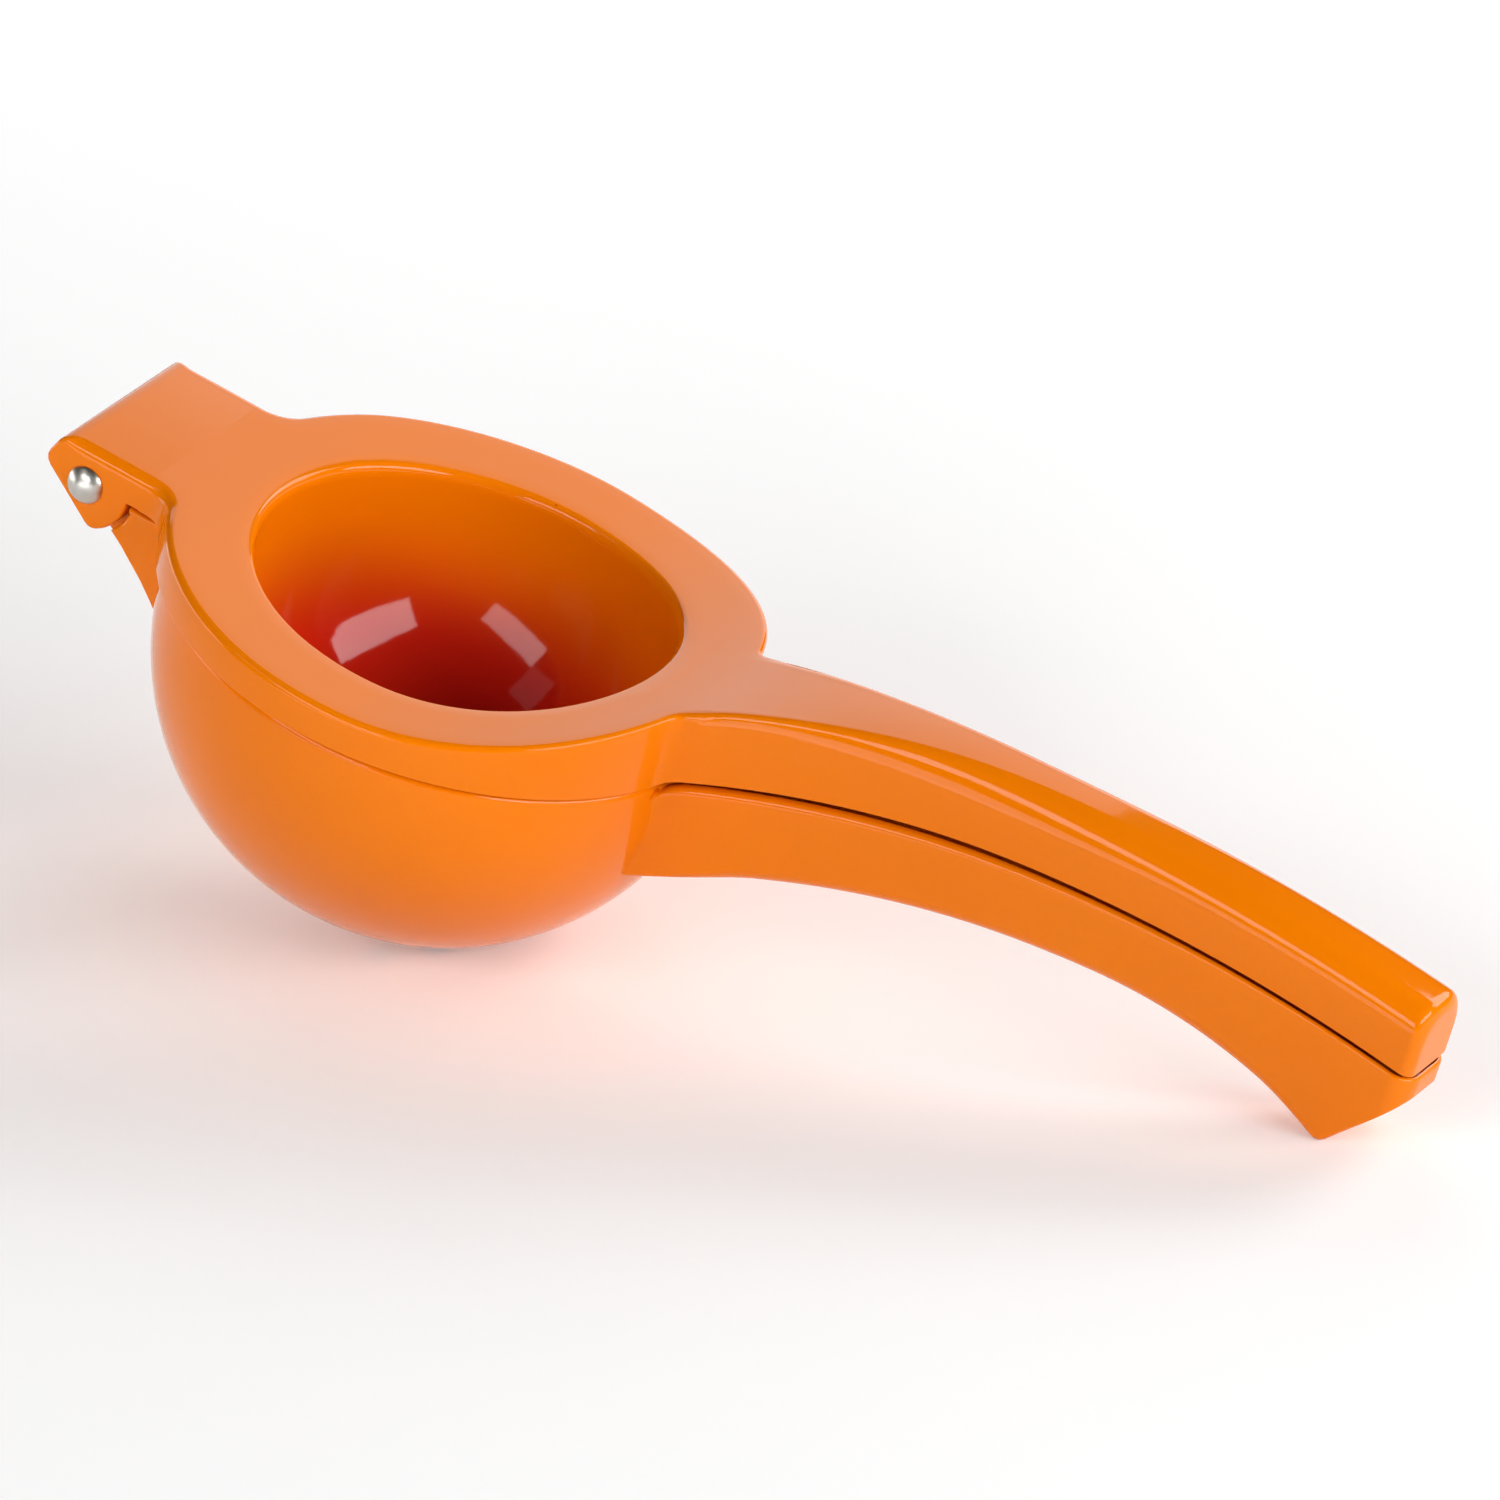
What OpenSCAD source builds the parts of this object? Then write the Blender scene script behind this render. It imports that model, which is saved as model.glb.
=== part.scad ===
// Hand lever citrus squeezer, closed, standing on its cup and on the toe of its lower handle.
// Both levers are drawn in one lever frame: the parting plane of ring and cup at z = 0, the cup's axis
// at x = 0, and the handles towards +x. place() then tilts them on to the table at z = 0.

/* [Bowl and ring] */
// Diameter of the mouth of the pressing bowl
mouth_d = 69; // [60:1:78]
// Wall of the pressing bowl
bowl_wall = 3; // [2.5:0.1:4]
// Depth of the bowl's straight neck under the ring
bowl_neck = 3; // [1:0.5:5]
// Thickness of the ring at its lowest
ring_t = 6.2; // [5.6:0.1:8]
// Overhang of the ring past the cup
ring_overhang = 1.2; // [0.6:0.1:1.6]

/* [Cup] */
// Room between bowl and cup for the pressed peel
peel_gap = 5.5; // [4.5:0.1:8]
// Wall of the cup
cup_wall = 4; // [3:0.1:5]
// Height of the cup's straight skirt
cup_skirt = 5; // [4:0.5:8]
// Gap between the ring and the cup's rim when closed
rim_gap = 0.4; // [0.3:0.1:0.8]
// Diameter of one drain hole
drain_d = 4.5; // [3:0.1:5]
// Spacing of the drain hole circles
drain_pitch = 9.2; // [8:0.1:11]
// Number of drain hole circles round the middle hole
drain_circles = 2; // [1:1:3]

/* [Hinge] */
// Distance from the ring's edge to the rivet
hinge_arm = 12; // [10.5:0.1:15]
// Height of the rivet above the parting plane
pin_rise = 1.1; // [0.4:0.1:1.4]
// Width of the hinge
hinge_w = 35.2; // [30:0.2:40]
// Distance from the rivet to the end of the hinge arm
hinge_end = 6.7; // [5.5:0.1:7.5]
// Height of the hinge arm's underside above the parting plane
arm_lift = 1.4; // [0.8:0.1:1.8]
// Rise of the top from the ring to the hinge arm
arm_rise = 1.25; // [0.4:0.05:2]
// Radius of the bends of that rise
dish_r = 450; // [300:10:600]
// Distance from the cup's axis to the foot of that rise
dish_foot = 8; // [4:0.5:14]
// Radius of the ears round the rivet
ear_r = 7.9; // [7.4:0.1:8.6]
// Distance from the rivet to the slanted edge of the ears
ear_edge = 4.4; // [4:0.1:5]
// Slope of the slanted edge of the ears, in degrees
ear_slope = 37.5; // [34:0.5:42]
// Depth of the ears below the rivet
ear_drop = 6.6; // [6:0.1:7.2]
// Slope of the lug on the cup, in degrees
lug_slope = 40; // [36:0.5:44]
// Width of the tongue between the ears
tongue_w = 26; // [20:0.5:28]
// Radius of the eye on the tongue
eye_r = 3.5; // [3.2:0.1:3.8]
// Clearance round the tongue and the lug
hinge_gap = 0.4; // [0.3:0.05:0.6]
// Radius of the fillets between the hinge arm and the ring
arm_fillet = 6; // [3:0.5:8]

/* [Rivet] */
// Diameter of the rivet's shank
shank_d = 4; // [3.4:0.1:4.4]
// Running clearance of the shank in the tongue, on the radius
shank_gap = 0.08; // [0.03:0.01:0.1]
// Diameter of the domed head
head_d = 6.4; // [5.6:0.1:7]
// Height of the domed head
head_h = 1.9; // [1.4:0.1:2.4]
// Height of the straight edge of the domed head
head_edge = 0.3; // [0.2:0.05:0.6]
// Height of the rolled tail
tail_h = 1.2; // [0.8:0.1:1.6]
// Diameter of the hollow in the rolled tail
tail_hollow_d = 2.4; // [1.6:0.1:2.8]

/* [Handles] */
// Length of the upper handle past the ring
grip_len = 128.3; // [110:0.1:150]
// Width of both handles
grip_w = 14; // [12:0.5:18]
// Wall of the hollow handles
grip_wall = 3; // [2.4:0.1:3.6]
// Radius of the handle's end corners, seen from above
end_r = 4.5; // [2:0.5:5.5]
// Gap between the closed handles
grip_gap = 0.8; // [0.5:0.1:1.5]
// Radius of the flare from the handle to the ring, seen from above
flare_r = 300; // [220:10:400]
// Length of the flare
flare_len = 58; // [45:1:70]
// Radius of the fillets between the flare and the ring
ring_fillet = 3; // [2:0.5:5]
// Radius of the fillets between the flare and the cup
cup_fillet = 5; // [3:0.5:7]
// Radius of the rise from the ring up to the handle
rise_r = 117; // [100:1:140]
// Slope at the top of the rise, in degrees
rise_turn = 22.9; // [18:0.1:26]
// Radius of the handle's crest above the root
crest_r = 166; // [140:1:200]
// Turn of the crest, in degrees
crest_turn = 17; // [12:0.1:20]
// Radius of the top along the rest of the handle
tail_r = 360; // [300:5:450]

/* [Parting between the handles] */
// Distance from the ring's edge to the start of the handles' parting
root_out = 0.7; // [0.3:0.1:3]
// Slope at the start of the parting, in degrees
root_slope = 41; // [36:1:46]
// Radius at the start of the parting
root_r = 36; // [30:1:44]
// Turn at the start of the parting, in degrees
root_turn = 25; // [20:1:28]
// Radius of the parting along the handles
grip_r = 274; // [240:2:320]

/* [Belly and toe of the lower handle] */
// Depth at which the lower handle leaves the cup's inner wall
belly_drop = 20.5; // [18:0.5:23]
// Slope of the belly there, in degrees
belly_slope = 29; // [26:0.5:32]
// Radius of the belly near the cup
belly_r = 201; // [180:1:230]
// Turn of the belly near the cup, in degrees
belly_turn = 24; // [20:0.5:27]
// Radius of the belly near the toe
toe_sweep_r = 89; // [80:1:110]
// Distance from the upper handle's end back to the toe
toe_back = 12.5; // [8:0.5:18]
// Distance from the upper handle's end out to the lower handle's tip
tip_out = 0.5; // [0:0.5:3]
// Radius of the toe
toe_r = 2; // [1.5:0.1:3]
// Length of the flat on which the toe stands
toe_land = 2; // [1:0.1:2.6]
// Slope of the lower handle's end, in degrees
end_slope = 50; // [44:1:58]

/* [Hidden] */
$fn = 96;
enamel = "darkorange";
steel = "silver";
steps = 14;
bite = 0.05;
over = 1;
far = 300;

// Radii of the bowl, cup and ring, from the mouth outwards
mouth_r = mouth_d / 2;
bowl_r = mouth_r + bowl_wall;
cavity_r = bowl_r + peel_gap;
cup_r = cavity_r + cup_wall;
ring_r = cup_r + ring_overhang;

// Hinge
pin_x = -(ring_r + hinge_arm);
arm_top = ring_t + arm_rise;
seat_r = ear_r + hinge_gap;
slot_top = eye_r + hinge_gap;
slot_w = tongue_w + 2 * hinge_gap;

// Ends of the handles
root_x = ring_r + root_out;
grip_end = ring_r + grip_len;
tip_end = grip_end + tip_out;
flare_x = root_x + flare_len;
grip_half = grip_w / 2;
hollow_half = grip_half - grip_wall;
hollow_start = root_x + 2 * grip_wall;

// Points of an arc that leaves start along heading and turns by turn, with left as positive
function arc(start, heading, r, turn) =
    let (side = sign(turn), c = start + side * r * [-sin(heading), cos(heading)])
    [for (i = [1:steps]) let (h = heading + turn * i / steps) c - side * r * [-sin(h), cos(h)]];
// Right turn after which an arc has reached x
function turn_to(x, start, heading, r) = asin(sin(heading) - (x - start.x) / r) - heading;
function last(list) = list[len(list) - 1];
// Where circles round a and b with radii ra and rb meet, on the left of the way from a to b
function meet(a, ra, b, rb) =
    let (d = norm(b - a), u = (b - a) / d, s = (d * d + ra * ra - rb * rb) / (2 * d))
    a + s * u + sqrt(ra * ra - s * s) * [-u.y, u.x];
function heading_of(v) = atan2(v.y, v.x);

// Top of the press lever: down from the hinge arm, up the rise, over the crest and along the tail
dish_turn = acos(1 - arm_rise / (2 * dish_r));
dish_start = [-dish_foot - 2 * dish_r * sin(dish_turn), arm_top];
dish_out = arc(dish_start, 0, dish_r, -dish_turn);
dish_in = arc(last(dish_out), -dish_turn, dish_r, dish_turn);
rise_start = [root_x - rise_r * sin(rise_turn), ring_t];
rise = arc(rise_start, 0, rise_r, rise_turn);
crest = arc(last(rise), rise_turn, crest_r, -crest_turn);
tail_slope = rise_turn - crest_turn;
tail = arc(last(crest), tail_slope, tail_r, turn_to(tip_end + over, last(crest), tail_slope, tail_r));
top_line = concat([[pin_x, arm_top], dish_start], dish_out, dish_in, [rise_start], rise, crest, tail);

// Parting line between the handles, on the upper one
root_start = [root_x, 0];
root = arc(root_start, root_slope, root_r, -root_turn);
grip_slope = root_slope - root_turn;
grip = arc(last(root), grip_slope, grip_r, turn_to(tip_end + over, last(root), grip_slope, grip_r));
parting_line = concat([root_start], root, grip);

// Underside of the cup lever's handle: belly, toe and slanted end
belly_start = [cavity_r - over, -belly_drop];
belly = arc(belly_start, belly_slope, belly_r, -belly_turn);
sweep_slope = belly_slope - belly_turn;
sweep_turn = turn_to(grip_end - toe_back, last(belly), sweep_slope, toe_sweep_r);
sweep = arc(last(belly), sweep_slope, toe_sweep_r, sweep_turn);
toe_slope = sweep_slope + sweep_turn;
toe = arc(last(sweep), toe_slope, toe_r, end_slope - toe_slope);
end_line = [last(toe) + far * [cos(end_slope), sin(end_slope)]];
belly_line = concat([belly_start], belly, sweep, toe, end_line);

// Radius of the cup at the depth where the belly meets it
belly_root_r = sqrt(pow(cup_r, 2) - pow(belly_drop - cup_skirt, 2));

// Tilt at which the cup and the flat of the toe both touch the table
toe_centre = last(sweep) + toe_r * [-sin(toe_slope), cos(toe_slope)];
cup_centre = [0, -cup_skirt];
toe_height = sqrt(toe_r * toe_r - toe_land * toe_land / 4);
to_toe = toe_centre - cup_centre;
tilt = heading_of(to_toe) + asin((cup_r - toe_height) / norm(to_toe));
table_z = cup_r + cup_skirt * cos(tilt);

// Side view of the lever frame, drawn through the whole width w
module side(w) {
    rotate([90, 0, 0])
        linear_extrude(w, center = true)
            children();
}

// Lever frame on the table, with the cup's point of contact at the origin
module place() {
    translate([cup_skirt * sin(tilt), 0, table_z])
        rotate([0, tilt, 0])
            children();
}

// Round body of radius r whose ball is centred at z = -neck, filled up to z = top
module ball_cup(r, neck, top) {
    rotate_extrude()
        intersection() {
            union() {
                translate([0, -neck])
                    circle(r);
                translate([0, -neck])
                    square([r, neck + far]);
            }
            translate([0, -far])
                square([r + over, far + top]);
        }
}

// Handle seen from above: round end, straight grip, flare, and fillets on to a body of radius r
module grip_plan(r, fillet_r, x_end) {
    flare_centre = [flare_x, grip_half + flare_r];
    fillet_centre = meet(flare_centre, flare_r - fillet_r, [0, 0], r - bite + fillet_r);
    flare_stop = heading_of(fillet_centre - flare_centre);
    fillet_stop = heading_of(fillet_centre);
    corner = arc([x_end, grip_half - end_r], 90, end_r, 90);
    flare = [for (i = [0:steps]) let (a = -90 + (flare_stop + 90) * i / steps)
        flare_centre + flare_r * [cos(a), sin(a)]];
    fillet = [for (i = [1:steps]) let (a = flare_stop + (fillet_stop - 180 - flare_stop) * i / steps)
        fillet_centre + fillet_r * [cos(a), sin(a)]];
    half = concat([[0, 0], [x_end, 0], [x_end, grip_half - end_r]], corner, flare, fillet);
    for (m = [0, 1])
        mirror([0, m])
            polygon(half);
}

// Hinge arm seen from above, with fillets on to the ring
module arm_plan() {
    half_w = hinge_w / 2;
    reach = ring_r - bite + arm_fillet;
    centre = [-sqrt(pow(reach, 2) - pow(half_w + arm_fillet, 2)), half_w + arm_fillet];
    stop = heading_of(-centre);
    fillet = [for (i = [0:steps]) let (a = -90 + (stop + 90) * i / steps)
        centre + arm_fillet * [cos(a), sin(a)]];
    half = concat([[0, 0], [pin_x, 0], [pin_x, half_w]], fillet);
    for (m = [0, 1])
        mirror([0, m])
            polygon(half);
}

// Half plane under a slanted edge, at a distance from the rivet
module under_slope(slope, distance) {
    rotate(-slope)
        translate([-far, -far - distance])
            square([2 * far, far]);
}

// Ear seen from the side, round the rivet, with the end of the hinge arm
module ear_shape() {
    difference() {
        circle(ear_r);
        under_slope(ear_slope, ear_edge);
        translate([-far, -far - ear_drop])
            square([2 * far, far]);
        translate([-far, arm_top - pin_rise])
            square([2 * far, far]);
    }
    translate([-hinge_end, 0])
        square([hinge_end, arm_top - pin_rise]);
    translate([0, arm_lift - pin_rise])
        square([hinge_arm, arm_top - arm_lift - arm_rise]);
}

// Lug on the cup seen from the side, with its seat round the ears
module lug_shape() {
    difference() {
        translate([0, -far])
            square([hinge_arm + 2 * cup_wall, far + arm_lift - rim_gap - pin_rise]);
        circle(seat_r);
        under_slope(lug_slope, 0);
    }
}

// Tongue seen from the side: the eye on the rivet and the neck that carries it
module tongue_shape() {
    circle(eye_r);
    rotate(-lug_slope)
        translate([0, -eye_r])
            square([hinge_arm + 2 * cup_wall, 2 * eye_r]);
}

// Hinge frame on the rivet's axis
module at_pin() {
    translate([pin_x, 0, pin_rise])
        children();
}

// Bore across the hinge
module rivet_bore(r) {
    at_pin()
        rotate([90, 0, 0])
            cylinder(h = hinge_w + 2 * over, r = r, center = true);
}

// Flat outline from above, bent between an underside and the top of the press lever
module bent(underside) {
    intersection() {
        side(2 * far)
            polygon(concat(top_line, underside));
        linear_extrude(far)
            children();
    }
}

// Ring with the upper handle, and the hinge arm
module press_plate() {
    bent([for (i = [len(parting_line):-1:0]) i > 0 ? parting_line[i - 1] : [-ring_r - over, 0]])
        union() {
            circle(ring_r);
            grip_plan(ring_r, ring_fillet, grip_end);
        }
    bent([[tip_end + over, arm_lift], [pin_x, arm_lift]])
        arm_plan();
}

// Hollow of the upper handle, open towards the lower one
module press_hollow() {
    translate([0, 0, -grip_wall])
        intersection() {
            side(2 * hollow_half)
                polygon(concat([[pin_x, -far]], top_line, [[tip_end + over, -far]]));
            translate([hollow_start, -hollow_half, -far])
                cube([grip_end - grip_wall - hollow_start, 2 * hollow_half, 2 * far]);
        }
}

module press_lever() {
    color(enamel)
        place()
            difference() {
                union() {
                    press_plate();
                    ball_cup(bowl_r, bowl_neck, over);
                    at_pin()
                        side(hinge_w)
                            ear_shape();
                }
                ball_cup(mouth_r, bowl_neck, far);
                press_hollow();
                at_pin()
                    translate([-far, -slot_w / 2, -far])
                        cube([far + seat_r, slot_w, far + slot_top]);
                rivet_bore(shank_d / 2);
            }
}

// Lower handle: the outline from above, between the parting line and the belly
module cup_grip() {
    intersection() {
        side(2 * far)
            intersection() {
                translate([0, -grip_gap])
                    polygon(concat([[0, 0]], parting_line, [[tip_end + over, -far], [0, -far]]));
                polygon(concat([[belly_start.x, far]], belly_line));
            }
        translate([0, 0, -far])
            linear_extrude(2 * far)
                grip_plan(belly_root_r, cup_fillet, tip_end);
    }
}

// Hollow of the lower handle, open towards the upper one
module cup_hollow() {
    translate([0, 0, grip_wall])
        intersection() {
            side(2 * hollow_half)
                polygon(concat([[belly_start.x, far]], belly_line));
            translate([hollow_start, -hollow_half, -far])
                cube([grip_end - grip_wall - hollow_start, 2 * hollow_half, 2 * far]);
        }
}

// Drain holes: one in the middle and circles of six, twelve and so on round it
module drains() {
    for (ring = [0:drain_circles], i = [0:max(1, 6 * ring) - 1])
        rotate(60 * i / max(1, ring))
            translate([ring * drain_pitch, 0, -far])
                cylinder(h = far - cup_skirt, d = drain_d);
}

module cup_lever() {
    color(enamel)
        difference() {
            place()
                difference() {
                    union() {
                        ball_cup(cup_r, cup_skirt, -rim_gap);
                        cup_grip();
                        at_pin()
                            side(hinge_w)
                                lug_shape();
                        at_pin()
                            side(tongue_w)
                                tongue_shape();
                    }
                    translate([0, 0, -rim_gap])
                        cylinder(h = far, r = ring_r + rim_gap);
                    ball_cup(cavity_r, cup_skirt, far);
                    cup_hollow();
                    drains();
                    rivet_bore(shank_d / 2 + shank_gap);
                }
            translate([cup_r, -grip_w, -far])
                cube([far, 2 * grip_w, far]);
        }
}

// Rivet across the hinge: domed head on one side, rolled tail with a hollow on the other
module hinge_rivet() {
    head_r = head_d / 2;
    dome_h = head_h - head_edge;
    dome_r = (head_r * head_r + dome_h * dome_h) / (2 * dome_h);
    half_w = hinge_w / 2;
    color(steel)
        place()
            at_pin()
                rotate([90, 0, 0])
                    difference() {
                        union() {
                            cylinder(h = hinge_w, d = shank_d, center = true);
                            translate([0, 0, half_w])
                                intersection() {
                                    translate([0, 0, head_h - dome_r])
                                        sphere(dome_r);
                                    cylinder(h = head_h, r = head_r);
                                }
                            translate([0, 0, -half_w - tail_h])
                                cylinder(h = tail_h, d1 = head_d - tail_h, d2 = head_d);
                        }
                        translate([0, 0, -half_w - tail_h])
                            cylinder(h = 2 * tail_h, d = tail_hollow_d, center = true);
                    }
}

cup_lever();
press_lever();
hinge_rivet();
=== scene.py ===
"""Hand lever citrus squeezer: two enamelled castings on one steel rivet, dressed for the camera."""

import logging
import math
from bisect import bisect_right
from collections.abc import Callable, Iterable, Sequence
from dataclasses import dataclass, field
from enum import Enum

import bmesh
import bpy
from bmesh.types import BMEdge, BMesh, BMVert
from mathutils import Matrix, Vector


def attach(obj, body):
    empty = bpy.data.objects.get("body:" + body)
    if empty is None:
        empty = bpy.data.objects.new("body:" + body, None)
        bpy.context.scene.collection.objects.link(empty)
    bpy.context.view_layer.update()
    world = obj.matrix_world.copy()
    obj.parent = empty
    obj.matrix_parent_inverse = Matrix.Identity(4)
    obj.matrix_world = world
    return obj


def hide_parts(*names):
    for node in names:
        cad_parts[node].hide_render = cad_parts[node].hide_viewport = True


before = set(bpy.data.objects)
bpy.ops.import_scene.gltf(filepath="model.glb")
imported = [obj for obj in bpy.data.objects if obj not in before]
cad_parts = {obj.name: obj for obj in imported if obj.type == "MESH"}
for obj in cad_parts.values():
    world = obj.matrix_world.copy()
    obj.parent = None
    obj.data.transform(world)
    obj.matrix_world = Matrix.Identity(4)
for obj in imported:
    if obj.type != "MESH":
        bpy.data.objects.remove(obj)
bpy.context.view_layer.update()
LOG = logging.getLogger("squeezer")
STATION = "station"
WELD = 1e-4
ROWS = 9
FAN = 5
MM = 0.001
SHARP = math.radians(38.0)


class Slot(Enum):
    """Material slots of the record."""

    ENAMEL = "orange_enamel"
    STEEL = "rivet_steel"


class Body(Enum):
    """Moving bodies of the squeezer."""

    CUP = "cup"
    PRESS = "press"


@dataclass(frozen=True)
class Sizes:
    """Shared sizes in millimetres, in the lever frame: parting plane z = 0, cup axis x = 0."""

    mouth_r: float = 34.1
    bowl_r: float = 37.5
    bowl_neck: float = 3.0
    bowl_rise: float = 1.0
    cavity_r: float = 43.0
    cup_r: float = 47.0
    cup_skirt: float = 5.0
    ring_r: float = 48.19
    ring_x: float = -0.7
    ring_t: float = 6.2
    rim_gap: float = 0.4
    pin_x: float = -60.2
    pin_z: float = 1.1
    hinge_half: float = 17.6
    tongue_half: float = 13.0
    arm_top: float = 7.45
    arm_lift: float = 1.4
    seat_r: float = 8.3
    root_x: float = 48.9
    grip_end: float = 176.5
    tip_end: float = 177.0
    toe_x: float = 164.0
    grip_half: float = 7.0
    grip_wall: float = 3.0
    tilt: float = 17.414452


SIZES = Sizes()
PIN = Vector((SIZES.pin_x, SIZES.pin_z))


def on_table() -> Matrix:
    """Matrix from the lever frame in millimetres to the table frame in metres.

    Returns:
        The matrix.
    """
    tilt = math.radians(SIZES.tilt)
    lift = Vector((SIZES.cup_skirt * math.sin(tilt), 0.0, SIZES.cup_r + SIZES.cup_skirt * math.cos(tilt)))
    return Matrix.Scale(MM, 4) @ Matrix.Translation(lift) @ Matrix.Rotation(tilt, 4, "Y")


def smooth_step(value: float, low: float, high: float) -> float:
    """Ease from 0 at low to 1 at high.

    Args:
        value: The number to place between the limits.
        low: Where the ease starts.
        high: Where the ease ends.

    Returns:
        A number from 0 to 1.
    """
    t = min(1.0, max(0.0, (value - low) / (high - low)))
    return t * t * (3.0 - 2.0 * t)


class Pen:
    """Draws one line of straights and tangent arcs in a plane."""

    def __init__(self, x: float, y: float, heading: float = 0.0, step: float = 1.2) -> None:
        """Start at a point, with a heading in degrees and a spacing of points.

        Args:
            x: First coordinate of the start.
            y: Second coordinate of the start.
            heading: Heading in degrees.
            step: Spacing of the points.
        """
        self.points: list[Vector] = [Vector((x, y))]
        self.heading = heading
        self.step = step

    @property
    def tip(self) -> Vector:
        """The last point drawn."""
        return self.points[-1]

    def line(self, length: float) -> "Pen":
        """Go straight on.

        Args:
            length: How far to go.

        Returns:
            The pen, for the next stroke.
        """
        count = max(1, round(length / self.step))
        ahead = Vector((math.cos(math.radians(self.heading)), math.sin(math.radians(self.heading))))
        start = self.tip.copy()
        self.points += [start + ahead * (length * i / count) for i in range(1, count + 1)]
        return self

    def arc(self, radius: float, turn: float) -> "Pen":
        """Turn on an arc.

        Args:
            radius: Radius of the arc.
            turn: Degrees to turn by, to the left when positive.

        Returns:
            The pen, for the next stroke.
        """
        count = max(3, round(radius * math.radians(abs(turn)) / self.step))
        side = math.copysign(radius, turn)
        first = math.radians(self.heading)
        centre = self.tip + side * Vector((-math.sin(first), math.cos(first)))
        for i in range(1, count + 1):
            angle = first + math.radians(turn) * i / count
            self.points.append(centre - side * Vector((-math.sin(angle), math.cos(angle))))
        self.heading += turn
        return self

    def arc_to_x(self, radius: float, x: float) -> "Pen":
        """Turn to the right on an arc until it reaches x."""
        sine = math.sin(math.radians(self.heading)) - (x - self.tip.x) / radius
        return self.arc(radius, math.degrees(math.asin(sine)) - self.heading)


class Bend:
    """Height of a bent face along the lever."""

    def __init__(self, points: Iterable[Vector]) -> None:
        """Keep a drawn line as a height for each x.

        Args:
            points: The drawn line.
        """
        pairs = sorted((p.x, p.y) for p in points)
        self.xs = [p[0] for p in pairs]
        self.zs = [p[1] for p in pairs]

    def __call__(self, x: float) -> float:
        """Height at x, with the end heights held beyond the ends.

        Args:
            x: Place along the lever.

        Returns:
            The height.
        """
        if x <= self.xs[0]:
            return self.zs[0]
        if x >= self.xs[-1]:
            return self.zs[-1]
        i = bisect_right(self.xs, x)
        span = self.xs[i] - self.xs[i - 1]
        part = (x - self.xs[i - 1]) / span if span > 1e-9 else 0.0
        return self.zs[i - 1] + part * (self.zs[i] - self.zs[i - 1])


@dataclass(frozen=True)
class LeverLines:
    """Side-view lines of the closed levers, drawn with tangent arcs."""

    step: float = 0.25

    def top(self) -> Bend:
        """Top of the press lever, from the hinge arm to the handle's end.

        Returns:
            The line.
        """
        dish_r, dish_foot, rise_r, rise_turn = 450.0, 8.0, 117.0, 22.9
        turn = math.degrees(math.acos(1.0 - (SIZES.arm_top - SIZES.ring_t) / (2.0 * dish_r)))
        start = -dish_foot - 2.0 * dish_r * math.sin(math.radians(turn))
        rise_x = SIZES.root_x - rise_r * math.sin(math.radians(rise_turn))
        pen = Pen(SIZES.pin_x - 12.0, SIZES.arm_top, 0.0, self.step).line(start - SIZES.pin_x + 12.0)
        pen.arc(dish_r, -turn).arc(dish_r, turn).line(rise_x + dish_foot)
        pen.arc(rise_r, rise_turn).arc(166.0, -17.0).arc_to_x(360.0, SIZES.tip_end + 1.0)
        return Bend(pen.points)

    def parting(self) -> Bend:
        """Underside of the press lever, from its ring to the handle's end.

        Returns:
            The line.
        """
        pen = Pen(-80.0, 0.0, 0.0, self.step).line(80.0 + 45.25)
        pen.heading = 47.6
        pen.arc(9.5, -27.1).arc(238.5, -11.85).arc_to_x(275.2, SIZES.tip_end + 1.0)
        return Bend(pen.points)

    def belly(self) -> Bend:
        """Underside of the lower handle: belly, toe and slanted end.

        Returns:
            The line.
        """
        pen = Pen(SIZES.cavity_r - 1.0, -20.5, 29.0, self.step)
        pen.arc(201.0, -24.0).arc_to_x(89.0, SIZES.toe_x)
        pen.arc(2.0, 50.0 - pen.heading).line(24.0)
        return Bend(pen.points)


@dataclass
class Rim:
    """One point of an outline, with the way in from it.

    It has the radii of its two edges, the lift of the lower one and a longer fall of the upper one.
    """

    at: Vector
    inward: Vector
    over: float
    under: float
    lift: float = 0.0
    drop: float = 0.0


def inward_normals(points: Sequence[Vector], closed: bool) -> list[Vector]:
    """Directions into an outline that runs clockwise, one for each point.

    Args:
        points: The outline in order.
        closed: Whether its ends join.

    Returns:
        Unit vectors to the right of the way along the outline.
    """
    count = len(points)
    normals = []
    for i in range(count):
        before = points[(i - 1) % count] if closed or i > 0 else points[i]
        after = points[(i + 1) % count] if closed or i < count - 1 else points[i]
        along = (after - before).normalized()
        normals.append(Vector((along.y, -along.x)))
    return normals


def meet(a: Vector, a_r: float, b: Vector, b_r: float) -> Vector:
    """Where two circles meet, on the left of the way from the first centre to the second.

    Args:
        a: Centre of the first circle.
        a_r: Its radius.
        b: Centre of the second circle.
        b_r: Its radius.

    Returns:
        The meeting point.
    """
    way = (b - a).length
    ahead = (b - a) / way
    along = (way * way + a_r * a_r - b_r * b_r) / (2.0 * way)
    return a + along * ahead + math.sqrt(a_r * a_r - along * along) * Vector((-ahead.y, ahead.x))


def arc_points(centre: Vector, radius: float, first: float, last: float, step: float) -> list[Vector]:
    """Points of an arc, both ends included.

    Args:
        centre: Centre of the arc.
        radius: Its radius.
        first: Angle of its start in degrees.
        last: Angle of its end in degrees.
        step: Spacing of the points.

    Returns:
        The points in order.
    """
    count = max(2, round(radius * math.radians(abs(last - first)) / step))
    angles = [math.radians(first + (last - first) * i / count) for i in range(count + 1)]
    return [centre + radius * Vector((math.cos(a), math.sin(a))) for a in angles]


def bearing(v: Vector) -> float:
    """Angle of a plane vector in degrees."""
    return math.degrees(math.atan2(v.y, v.x))


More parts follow.
